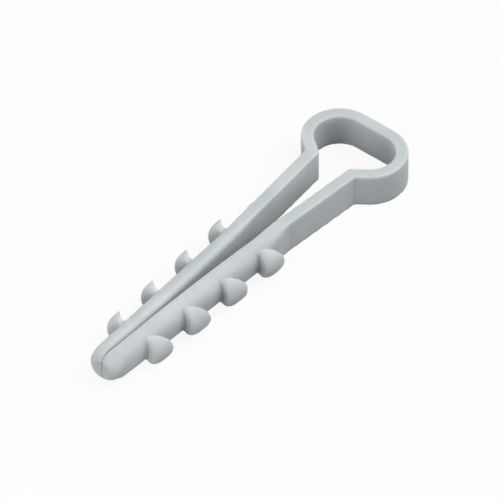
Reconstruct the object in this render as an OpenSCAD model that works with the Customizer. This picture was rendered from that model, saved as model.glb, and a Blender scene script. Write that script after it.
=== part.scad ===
// Push-in clip for flat cable: a loop head on two barbed legs that are pushed together into a drilled hole.
// It lies on the edge of its strip. X runs along the plug towards the head, Y across the two legs, Z up.
// Lengths along the plug are measured from the mouth, where the legs run into the loop.

/* [Loop head] */
// Clear width of the loop, across the clip
loop_w = 9.9; // [8:0.1:14]
// Clear depth of the loop, from the mouth to the back wall
loop_d = 6.4; // [5:0.1:10]
// Inner radius of the loop's two back corners
loop_r = 2.85; // [1.5:0.05:3]
// Wall of the loop
loop_wall = 1.4; // [0.8:0.1:2]
// Clear width of the mouth between the two legs
mouth_w = 4.16; // [3.2:0.02:5]

/* [Strip] */
// Height of the strip, which is the height of the whole moulding
strip_h = 4.2; // [3.4:0.1:6]
// Thickness of the flat part of a leg
strip_t = 1.45; // [0.8:0.05:1.6]
// Length of the flat part of a leg
flat_l = 11; // [6:0.5:13]
// Length over which the square corners run out into the plug's round ones
blend_l = 4; // [1:0.1:5]

/* [Plug] */
// Length from the mouth to the tip
leg_l = 39.9; // [38:0.1:50]
// Gap between the legs where the flat part ends
knee_gap = 2.4; // [1.5:0.1:3]
// Gap between the legs at the tip
tip_gap = 0.24; // [0.1:0.02:0.6]
// Width over both legs at the tip, without the nose's taper
tip_w = 3.6; // [3.2:0.1:4.6]
// Radius of the outer corners of a plug leg
plug_r = 0.95; // [0.5:0.05:1.6]
// Length of the tapered nose
nose_l = 3.2; // [1.5:0.1:4.5]
// Diameter of the nose's blunt end
nose_d = 2.4; // [1:0.1:3]
// Size of the bevel around the blunt end
nose_round = 0.5; // [0.2:0.05:0.6]

/* [Barbs] */
// Barbs on each leg
barb_n = 4; // [1:1:4]
// Distance from the mouth to the front face of the first barb
barb_start = 16.3; // [14.5:0.05:17]
// Distance from one barb to the next
barb_pitch = 6.05; // [4:0.02:6.4]
// Reach of a barb beyond the leg
barb_reach = 1.75; // [0.8:0.05:2]
// Length of a barb at its root, where it stands on the leg
barb_root = 0.85; // [0.4:0.05:2.4]
// How far the rim hangs over the root towards the head
barb_back = 1.4; // [0:0.05:2.4]
// How far the rim hangs over the root towards the tip
barb_lean = 0.05; // [0:0.05:1.4]

/* [Hidden] */
$fn = 64;
eps = 0.01;
// The run-out of the square corners lies this far inside the faces of the plug
sunk = 0.02;
// The nose's taper ends outside the legs, this many times their half height from the axis
nose_full = 1.2;

// Loop: corner circles, and the direction of the straight sides that run from the mouth to them
corner_r = min(loop_r, 0.46 * loop_d, 0.46 * loop_w);
corner_x = loop_d - corner_r;
corner_y = loop_w / 2 - corner_r;
mouth_y = mouth_w / 2;
corner_far = norm([corner_x, corner_y - mouth_y]);
side_a = atan2(corner_y - mouth_y, corner_x) + asin(corner_r / corner_far);
side_out = [-sin(side_a), cos(side_a)];

// Legs: outer line of the flat part, then of the plug
flat_a = atan2(mouth_w - knee_gap, 2 * flat_l);
flat_across = strip_t / cos(flat_a);
knee_y = knee_gap / 2 + flat_across;
plug_l = leg_l - flat_l;
plug_a = atan2(knee_y - tip_w / 2, plug_l);
round_r = min(plug_r, 0.48 * strip_h);

// The box around the clip has its middle at X = 0
head_x = loop_d + loop_wall;
mid_x = (head_x - leg_l) / 2;

// The same points on both sides of the middle line, as one closed outline
function both_sides(pts) = concat(pts, [for (i = [len(pts) - 1 : -1 : 0]) [pts[i].x, -pts[i].y]]);

// Everything between the walls: the gap between the legs, the mouth and the cable loop
module inside_2d() {
    polygon(both_sides([
        [-leg_l - eps, tip_gap / 2],
        [-flat_l, knee_gap / 2],
        [0, mouth_y],
        [corner_x, corner_y] + (corner_r - eps) * side_out,
        [corner_x, corner_y],
        [loop_d, corner_y]
    ]));
    for (side = [-1, 1])
        translate([corner_x, side * corner_y])
            circle(corner_r);
}

// Outline of the head with its wall
module head_2d() {
    polygon(both_sides([
        [0, mouth_y] + loop_wall * side_out,
        [corner_x, corner_y] + (corner_r + loop_wall - eps) * side_out,
        [corner_x, corner_y],
        [head_x, corner_y]
    ]));
    for (side = [-1, 1])
        translate([corner_x, side * corner_y])
            circle(corner_r + loop_wall);
}

// Outline of the two flat legs
module flat_2d() {
    polygon(both_sides([
        [-flat_l, knee_y],
        [0, mouth_y + flat_across]
    ]));
}

// Cross-section of one plug leg: outer face at 0, inner side towards -X, outer corners round
module plug_section() {
    translate([-knee_y, 0])
        square([knee_y - round_r, strip_h]);
    translate([-round_r - eps, round_r])
        square([round_r + eps, strip_h - 2 * round_r]);
    for (z = [round_r, strip_h - round_r])
        translate([-round_r, z])
            circle(round_r);
}

// Puts a cross-section on the outer line of the +Y leg and runs it from one length to another
module along_leg(from, to) {
    translate([-flat_l, knee_y, 0])
        rotate([0, 0, plug_a])
            translate([flat_l - to, 0, 0])
                rotate([90, 0, 90])
                    linear_extrude(to - from)
                        children();
}

// One barb: a half-round scale that stands on a short root and hangs over it towards both ends
module barb() {
    bed = knee_y / 3;
    past = 1.3;
    intersection() {
        linear_extrude(strip_h)
            polygon([
                [0, -bed],
                [0, 0],
                [-past * barb_lean, past * barb_reach],
                [barb_root + past * barb_back, past * barb_reach],
                [barb_root, 0],
                [barb_root, -bed]
            ]);
        translate([-2 * barb_lean - eps, 0, 0])
            rotate([90, 0, 90])
                linear_extrude(2 * (barb_lean + barb_root + barb_back))
                    barb_section(bed);
    }
}

// Outline of a barb seen along the leg
module barb_section(bed) {
    half_h = strip_h / 2;
    translate([barb_reach - half_h, half_h])
        circle(half_h);
    translate([-bed, 0])
        square([bed + barb_reach - half_h, strip_h]);
}

// Round body that trims the plug to a blunt tapered nose
module nose() {
    full_r = strip_h;
    end_r = nose_d / 2;
    translate([-leg_l, 0, strip_h / 2])
        rotate([0, 90, 0])
            rotate_extrude()
                polygon([
                    [0, 0],
                    [end_r, 0],
                    [end_r + nose_round, nose_round],
                    [nose_full * strip_h / 2, nose_l],
                    [full_r, nose_l],
                    [full_r, plug_l],
                    [0, plug_l]
                ]);
}

// Cone that runs the square corners of both flat legs out into the plug
module blend_cone() {
    half_h = strip_h / 2;
    translate([-flat_l - blend_l, 0, half_h])
        rotate([0, 90, 0])
            cylinder(h = blend_l, r1 = norm([knee_gap / 4, half_h]), r2 = 1.02 * norm([knee_y, half_h]));
}

// The +Y plug leg with its barbs, before the gap between the legs is cut
module plug_leg() {
    intersection() {
        along_leg(flat_l, leg_l + eps)
            plug_section();
        nose();
    }
    intersection() {
        along_leg(flat_l, flat_l + blend_l)
            translate([-knee_y, sunk])
                square([knee_y - sunk, strip_h - 2 * sunk]);
        blend_cone();
    }
    translate([-flat_l, knee_y, 0])
        rotate([0, 0, plug_a])
            for (i = [0 : barb_n - 1])
                translate([flat_l - barb_start - i * barb_pitch, 0, 0])
                    barb();
}

module cable_clip() {
    color("gainsboro")
        translate([-mid_x, 0, 0])
            difference() {
                union() {
                    linear_extrude(strip_h) {
                        head_2d();
                        flat_2d();
                    }
                    plug_leg();
                    mirror([0, 1, 0])
                        plug_leg();
                }
                translate([0, 0, -eps])
                    linear_extrude(strip_h + 2 * eps)
                        inside_2d();
            }
}

cable_clip();
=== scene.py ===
import math

import bpy
import numpy as np
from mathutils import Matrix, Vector


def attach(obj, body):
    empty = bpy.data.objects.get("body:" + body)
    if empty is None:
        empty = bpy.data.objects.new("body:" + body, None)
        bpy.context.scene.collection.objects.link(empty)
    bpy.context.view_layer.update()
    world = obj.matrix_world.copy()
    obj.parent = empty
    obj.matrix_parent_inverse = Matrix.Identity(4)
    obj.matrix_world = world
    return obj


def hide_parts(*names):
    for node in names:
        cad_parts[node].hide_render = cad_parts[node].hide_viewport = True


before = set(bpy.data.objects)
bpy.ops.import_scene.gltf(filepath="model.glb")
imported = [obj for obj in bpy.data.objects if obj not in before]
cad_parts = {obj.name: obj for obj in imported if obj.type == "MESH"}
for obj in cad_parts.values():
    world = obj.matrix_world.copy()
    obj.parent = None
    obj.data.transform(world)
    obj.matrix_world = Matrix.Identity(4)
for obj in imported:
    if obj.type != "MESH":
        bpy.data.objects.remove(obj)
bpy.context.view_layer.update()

# The clip: one injection moulding in natural grey-white nylon, a loop head on two barbed plug legs.
# Its skin starts as an even mesh of the solid. Then the plug legs are rounded to half rods, the barbs are
# thinned to scales, and every edge is eased, as the mould leaves no sharp one.
MM = 0.001
SKIN_STEP = 0.13

# The solid's own sizes in millimetres. X runs along the plug towards the head; the knee is where a plug leg
# starts, and a barb's slope is how far its back runs headward for each millimetre that it stands out.
STRIP_HEIGHT = 4.2
HALF_HEIGHT = STRIP_HEIGHT / 2
KNEE_X, KNEE_Y = 5.05, 2.655
TIP_X = -23.85
LEG_TAPER = math.radians(1.694)
KNEE_GAP, TIP_GAP = 2.4, 0.24
BARB_COUNT, BARB_FIRST, BARB_PITCH = 4, -5.3, 6.05
BARB_ROOT, BARB_SLOPE = 0.85, 0.8

# The plug legs' finer form: how much wider they are, how the slot closes, and the radii of their edges
WIDER_AT_KNEE, WIDER_AT_TIP = 0.5, 0.17
CLOSED_GAP, GAP_OPENING = 0.06, 2.2
OUTER_ROUND, INNER_ROUND, LEAST_ROUND = 1.85, 0.7, 0.05
ROUND_RUN = 4.0

# The barbs' finer form: a thin back, a front that leans a little towards the tip, and a domed nose.
# The change reaches a little way behind and before a barb, and into its bed in the leg.
THIN_ROOT, THIN_SLOPE, THINNEST = 0.66, 1.0, 0.12
BEHIND_BARB, BEFORE_BARB, BARB_BED = 1.2, 0.3, 1.5
BARB_SHARE = 0.93
FRONT_LEAN = 0.14
BARB_AXIS, BARB_NOSE, NOSE_LENGTH = -0.35, 0.72, 0.95

# Rounds of easing: for the head and the strips alone, and then for the whole skin
HEAD_PASSES, ALL_PASSES, EASING = 10, 4, 0.5

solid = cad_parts["cable_clip"]
moulding = bpy.data.objects.new("clip_moulding", solid.data.copy())
bpy.context.scene.collection.objects.link(moulding)


def settle(piece, kind, **settings):
    """Adds one modifier to a piece and makes its result the piece's own mesh."""
    modifier = piece.modifiers.new(kind.lower(), kind)
    for name, value in settings.items():
        setattr(modifier, name, value)
    depsgraph = bpy.context.evaluated_depsgraph_get()
    mesh = bpy.data.meshes.new_from_object(piece.evaluated_get(depsgraph))
    piece.modifiers.clear()
    piece.data = mesh


def rounded(inward, from_face, radius):
    """Moves the points of a square edge, given by their two depths, in to a round edge of that radius."""
    slack = 0.02
    from_centre_in = inward - radius
    from_centre_up = from_face - radius
    far = np.hypot(from_centre_in, from_centre_up)
    in_corner = (inward > -slack) & (from_centre_in < 0) & (from_centre_up < 0) & (far > radius)
    keep = np.where(in_corner, radius / np.where(in_corner, far, 1.0), 1.0)
    new_inward = np.where(in_corner, radius + from_centre_in * keep, inward)
    new_from_face = np.where(in_corner, radius + from_centre_up * keep, from_face)
    return new_inward, new_from_face


settle(moulding, "REMESH", mode="VOXEL", voxel_size=SKIN_STEP * MM)
points = np.empty(len(moulding.data.vertices) * 3)
moulding.data.vertices.foreach_get("co", points)
points = points.reshape(-1, 3) / MM
x, y, z = points[:, 0], points[:, 1], points[:, 2]
side = np.sign(y)
across = np.abs(y)
upper = np.sign(z - HALF_HEIGHT)
depth = HALF_HEIGHT - np.abs(z - HALF_HEIGHT)
on_plug = x < KNEE_X

# Plug legs: a little wider than the plain solid, most at the knee, with a slot that closes towards the tip
length = np.clip((x - TIP_X) / (KNEE_X - TIP_X), 0, 1)
run = np.clip((KNEE_X - x) / ROUND_RUN, 0, 1)
wider = run * (WIDER_AT_TIP + (WIDER_AT_KNEE - WIDER_AT_TIP) * length)
gap_face = (TIP_GAP + (KNEE_GAP - TIP_GAP) * length) / 2
closed_face = (CLOSED_GAP + (KNEE_GAP - CLOSED_GAP) * length ** GAP_OPENING) / 2
outer_face = KNEE_Y + math.tan(LEG_TAPER) * (x - KNEE_X)
share = np.clip((across - gap_face) / (outer_face - gap_face), 0, 1)
spread = wider * share + (closed_face - gap_face) * (1 - share)
across = np.where(on_plug, across + spread, across)

# The same points measured along a leg and out from its outer face
taper_cos, taper_sin = math.cos(LEG_TAPER), math.sin(LEG_TAPER)
along = taper_cos * (x - KNEE_X) + taper_sin * (across - KNEE_Y)
out = -taper_sin * (x - KNEE_X) + taper_cos * (across - KNEE_Y) - wider

# Barbs: the back of each comes forward to leave a thin scale, and its front is leaned and domed
back = BARB_ROOT + BARB_SLOPE * np.maximum(out, 0)
thin_back = np.maximum(THIN_ROOT + THIN_SLOPE * out, THINNEST)
moved = np.zeros_like(along)
nosed = np.ones_like(along)
for i in range(BARB_COUNT):
    past_front = along - (BARB_FIRST - i * BARB_PITCH)
    near_face = on_plug & (out > -BARB_BED)
    in_barb = near_face & (past_front > 0) & (past_front <= back)
    behind = near_face & (past_front > back) & (past_front < back + BEHIND_BARB)
    moved = np.where(in_barb, past_front * thin_back / back - past_front, moved)
    moved = np.where(behind, (thin_back - back) * (1 - (past_front - back) / BEHIND_BARB), moved)
    into = np.clip(past_front / NOSE_LENGTH, 0, 1)
    bulge = BARB_NOSE + (1 - BARB_NOSE) * np.sqrt(1 - (1 - into) ** 2)
    in_nose = on_plug & (out > 0) & (past_front > -BEFORE_BARB) & (past_front < NOSE_LENGTH)
    nosed = np.where(in_nose, bulge, nosed)
    leaning = FRONT_LEAN * np.maximum(out, 0) * (1 - np.clip(past_front, 0, None) / back)
    moved = np.where(on_plug & (past_front > -BEFORE_BARB) & (past_front <= back), moved - leaning, moved)
along = along + moved
out = np.where(out > 0, out * BARB_SHARE, out)
depth = HALF_HEIGHT - (HALF_HEIGHT - depth) * nosed
out = np.where(nosed < 1, np.maximum(BARB_AXIS + (out - BARB_AXIS) * nosed, 0), out)

# Plug legs: the outer and then the inner edges are rounded, more and more from the knee on
inward, new_depth = rounded(-out, depth, np.maximum(OUTER_ROUND * run, LEAST_ROUND))
out = np.where(on_plug, -inward, out) + wider
depth = np.where(on_plug, new_depth, depth)
x = np.where(on_plug, KNEE_X + taper_cos * along - taper_sin * out, x)
across = np.where(on_plug, KNEE_Y + taper_sin * along + taper_cos * out, across)
inward, new_depth = rounded(across - closed_face, depth, np.maximum(INNER_ROUND * run, LEAST_ROUND))
across = np.where(on_plug, closed_face + inward, across)
depth = np.where(on_plug, new_depth, depth)
z = HALF_HEIGHT + upper * (HALF_HEIGHT - depth)
points = np.stack([x, side * across, z], axis=1) * MM
moulding.data.vertices.foreach_set("co", points.ravel())
moulding.data.update()

# Edges: eased all over, and more on the head and the strips
head = moulding.vertex_groups.new(name="head_and_strip")
head.add([int(i) for i in np.flatnonzero(x > KNEE_X)], 1.0, "REPLACE")
settle(moulding, "SMOOTH", factor=EASING, iterations=HEAD_PASSES, vertex_group="head_and_strip")
settle(moulding, "SMOOTH", factor=EASING, iterations=ALL_PASSES)
eased = moulding.data
eased.name = "clip_moulding"
eased.materials.clear()
for face in eased.polygons:
    face.use_smooth = True


def linear(hex_colour):
    """An sRGB hex colour as linear RGBA."""
    parts = [int(hex_colour[i:i + 2], 16) / 255 for i in (1, 3, 5)]
    return [c / 12.92 if c <= 0.04045 else ((c + 0.055) / 1.055) ** 2.4 for c in parts] + [1.0]


def add_node(tree, kind, settings=None, inputs=None):
    """Adds one node with its settings; an input is a value, or a (node, socket) that is linked to it."""
    node = tree.nodes.new(kind)
    for name, value in (settings or {}).items():
        setattr(node, name, value)
    for name, value in (inputs or {}).items():
        if isinstance(value, tuple) and isinstance(value[0], bpy.types.Node):
            tree.links.new(value[0].outputs[value[1]], node.inputs[name])
        else:
            node.inputs[name].default_value = value
    return node


# Natural nylon, moulded: a satin skin, cold grey-white, that lets a little light into its edges and rims.
# Slow drifts of tone come from the melt. The fine grain is the spark-eroded face of the mould; the real one
# is about 0.03 mm wide, and it is drawn coarser here so that it shows.
DRIFT_SIZE = 5 * MM
GRAIN_SIZE, GRAIN_DEPTH = 0.25 * MM, 0.04 * MM
LIGHT_DEPTH = 1.3 * MM
nylon = bpy.data.materials.new("moulded_nylon")
nylon.use_nodes = True
tree = nylon.node_tree
tree.nodes.clear()
place = add_node(tree, "ShaderNodeTexCoord")
drift = add_node(
    tree, "ShaderNodeTexNoise", {},
    {"Vector": (place, "Object"), "Scale": 1 / DRIFT_SIZE, "Detail": 3.0, "Roughness": 0.55},
)
tone = add_node(tree, "ShaderNodeValToRGB", {}, {"Fac": (drift, "Fac")})
tone.color_ramp.elements[0].position = 0.35
tone.color_ramp.elements[0].color = linear("#C2C8CA")
tone.color_ramp.elements[1].position = 0.65
tone.color_ramp.elements[1].color = linear("#CCD1D1")
grain = add_node(
    tree, "ShaderNodeTexNoise", {},
    {"Vector": (place, "Object"), "Scale": 1 / GRAIN_SIZE, "Detail": 2.0, "Roughness": 0.5},
)
gloss = add_node(
    tree, "ShaderNodeMapRange", {},
    {"Value": (grain, "Fac"), "To Min": 0.42, "To Max": 0.54},
)
skin = add_node(
    tree, "ShaderNodeBump", {},
    {"Height": (grain, "Fac"), "Strength": 0.12, "Distance": GRAIN_DEPTH},
)
plastic = add_node(
    tree, "ShaderNodeBsdfPrincipled", {},
    {
        "Base Color": (tone, "Color"),
        "Roughness": (gloss, "Result"),
        "Normal": (skin, "Normal"),
        "IOR": 1.53,
        "Specular IOR Level": 0.4,
        "Subsurface Weight": 0.9,
        "Subsurface Radius": (1.0, 0.95, 0.9),
        "Subsurface Scale": LIGHT_DEPTH,
    },
)
add_node(tree, "ShaderNodeOutputMaterial", {}, {"Surface": (plastic, "BSDF")})
eased.materials.append(nylon)

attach(moulding, "root")
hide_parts("cable_clip")

# The floor: a plain sheet of white paper that the clip lies on. It takes the clip's soft shadow.
# What is seen of it, directly or in a gloss, is lifted to paper white without more light on the clip.
FLOOR_SIDE = 3.0
FLOOR_DROP = 0.02 * MM
PAPER_LIFT = 0.9
floor_mesh = bpy.data.meshes.new("floor")
edge = FLOOR_SIDE / 2
floor_mesh.from_pydata(
    [(-edge, -edge, 0), (edge, -edge, 0), (edge, edge, 0), (-edge, edge, 0)], [], [(0, 1, 2, 3)]
)
floor = bpy.data.objects.new("floor", floor_mesh)
floor.location.z = -FLOOR_DROP
bpy.context.scene.collection.objects.link(floor)


def seen_rays(tree):
    """Adds the nodes that pick out the rays which show a surface, from those that only carry its light."""
    ray = add_node(tree, "ShaderNodeLightPath")
    direct = add_node(
        tree, "ShaderNodeMath", {"operation": "MAXIMUM"},
        {0: (ray, "Is Camera Ray"), 1: (ray, "Is Glossy Ray")},
    )
    return add_node(
        tree, "ShaderNodeMath", {"operation": "MAXIMUM"},
        {0: (direct, "Value"), 1: (ray, "Is Transmission Ray")},
    )


# White paper, uncoated: fully matt. To all other rays it is a mid grey, so that it doesn't throw light up
# into the clip's shaded walls.
paper = bpy.data.materials.new("white_paper")
paper.use_nodes = True
tree = paper.node_tree
tree.nodes.clear()
sheet = add_node(
    tree, "ShaderNodeBsdfDiffuse", {}, {"Color": linear("#F2F2F0"), "Roughness": 0.5},
)
dimmed = add_node(
    tree, "ShaderNodeBsdfDiffuse", {}, {"Color": linear("#727476"), "Roughness": 0.5},
)
lifted = add_node(tree, "ShaderNodeEmission", {}, {"Color": (1, 1, 1, 1), "Strength": 1.0})
white = add_node(
    tree, "ShaderNodeMixShader", {},
    {"Fac": PAPER_LIFT, 1: (sheet, "BSDF"), 2: (lifted, "Emission")},
)
mixed = add_node(
    tree, "ShaderNodeMixShader", {},
    {"Fac": (seen_rays(tree), "Value"), 1: (dimmed, "BSDF"), 2: (white, "Shader")},
)
add_node(tree, "ShaderNodeOutputMaterial", {}, {"Surface": (mixed, "Shader")})
floor_mesh.materials.append(paper)

# Soft studio light: an even white surround and square soft boxes. One hangs overhead, towards the head, one
# stands at each of the far end, the back and the near side, and a small one is close to the tips.
world = bpy.data.worlds.new("surround")
bpy.context.scene.world = world
world.use_nodes = True
tree = world.node_tree
tree.nodes.clear()
surround = add_node(tree, "ShaderNodeBackground", {}, {"Color": linear("#F4F7FA"), "Strength": 0.27})
backdrop = add_node(tree, "ShaderNodeBackground", {}, {"Color": (1, 1, 1, 1), "Strength": 1.0})
shown = add_node(
    tree, "ShaderNodeMixShader", {},
    {"Fac": (seen_rays(tree), "Value"), 1: (surround, "Background"), 2: (backdrop, "Background")},
)
add_node(tree, "ShaderNodeOutputWorld", {}, {"Surface": (shown, "Shader")})


def panel(name, direction, distance, side, watts, colour):
    """A square soft box that looks at the clip from one direction."""
    lamp = bpy.data.lights.new(name, "AREA")
    lamp.size = side
    lamp.energy = watts
    lamp.color = linear(colour)[:3]
    holder = bpy.data.objects.new(name, lamp)
    holder.location = Vector(direction).normalized() * distance
    holder.rotation_euler = (-Vector(direction)).to_track_quat("-Z", "Y").to_euler()
    holder.visible_camera = False
    bpy.context.scene.collection.objects.link(holder)


panel("overhead_panel", (0.4, -0.35, 1.0), distance=0.5, side=0.4, watts=1.4, colour="#FFFFFF")
panel("far_panel", (-0.9, 0.0, 0.5), distance=0.6, side=0.4, watts=0.85, colour="#FFFFFF")
panel("back_panel", (0.1, 0.9, 0.45), distance=0.6, side=0.4, watts=0.8, colour="#FFFFFF")
panel("near_panel", (0.6, -0.85, 0.5), distance=0.6, side=0.4, watts=0.9, colour="#F8FBFF")
panel("tip_panel", (-0.98, -0.2, 0.2), distance=0.12, side=0.05, watts=0.03, colour="#FFFFFF")

# The camera: a long lens far above the tips, towards the near side, so that the clip keeps almost the same
# scale from end to end.
SEEN_WIDTH = 54.2 * MM
DISTANCE = 2.2
aim = Vector((-0.84, -1.98, 4.2)) * MM
towards_camera = Vector((-0.5623, -0.4602, 0.6871)).normalized()
camera = bpy.data.cameras.new("camera")
camera.sensor_width = 36.0
camera.lens = camera.sensor_width * DISTANCE / SEEN_WIDTH
camera.clip_start = 0.01
camera.clip_end = 10.0
eye = bpy.data.objects.new("camera", camera)
eye.location = aim + towards_camera * DISTANCE
eye.rotation_euler = (-towards_camera).to_track_quat("-Z", "Y").to_euler()
bpy.context.scene.collection.objects.link(eye)
bpy.context.scene.camera = eye
bpy.context.scene.view_settings.view_transform = "Standard"
